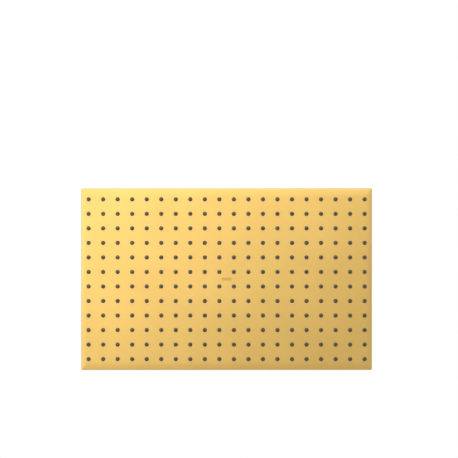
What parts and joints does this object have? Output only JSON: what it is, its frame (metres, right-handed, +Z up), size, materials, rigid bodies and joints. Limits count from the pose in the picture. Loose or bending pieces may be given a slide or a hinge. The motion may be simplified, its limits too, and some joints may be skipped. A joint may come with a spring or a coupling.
{
  "type": "overhead rain shower head",
  "caption": "Flat rectangular overhead rain shower head in satin gold, with a grid of dark silicone nozzles and a threaded ball swivel inlet.",
  "frame": {"origin": "centre of the inlet thread where it starts, 0.4 mm below the top of the inlet nut", "axes": "+Z up along the inlet thread, +X along the plate's 400 mm side, +Y along its 250 mm side"},
  "size_m": [0.4, 0.25, 0.0456],
  "materials": {
    "gold_steel": "satin gold coating on stainless steel",
    "gold_brass": "satin gold coating on brass",
    "plain_brass": "machined",
    "plain_steel": "plain",
    "grey_silicone": "matt",
    "black_rubber": "matt",
    "white_plastic": "matt"
  },
  "bodies": {
    "inlet": {"inlet_nut": "gold_brass", "ball_stem": "gold_brass", "inlet_washer": "black_rubber", "strainer_screen": "plain_steel", "flow_regulator_body": "white_plastic", "regulator_seal": "black_rubber", "flow_regulator_ring": "black_rubber"},
    "liner": {"ball_liner": "white_plastic"},
    "seal": {"ball_seal": "black_rubber"},
    "head": {"hub": "gold_brass", "collar_nut": "gold_brass", "hub_gasket": "black_rubber", "hub_lock_ring": "plain_brass", "back_plate": "gold_steel", "face_plate": "gold_steel", "rim_front": "gold_steel", "rim_rear": "gold_steel", "rim_left": "gold_steel", "rim_right": "gold_steel", "nozzle_mat": "grey_silicone", "spacer_pillars": "plain_steel"}
  },
  "joints": [
    {"name": "tilt_x", "type": "hinge", "parent": "inlet", "child": "liner", "pos_m": [0, 0, -0.0222], "axis": [1, 0, 0], "range_deg": [-14, 14]},
    {"name": "tilt_y", "type": "hinge", "parent": "liner", "child": "seal", "pos_m": [0, 0, -0.0222], "axis": [0, 1, 0], "range_deg": [-14, 14]},
    {"name": "spin", "type": "hinge", "parent": "seal", "child": "head", "pos_m": [0, 0, -0.0222], "axis": [0, 0, 1], "continuous": true}
  ]
}
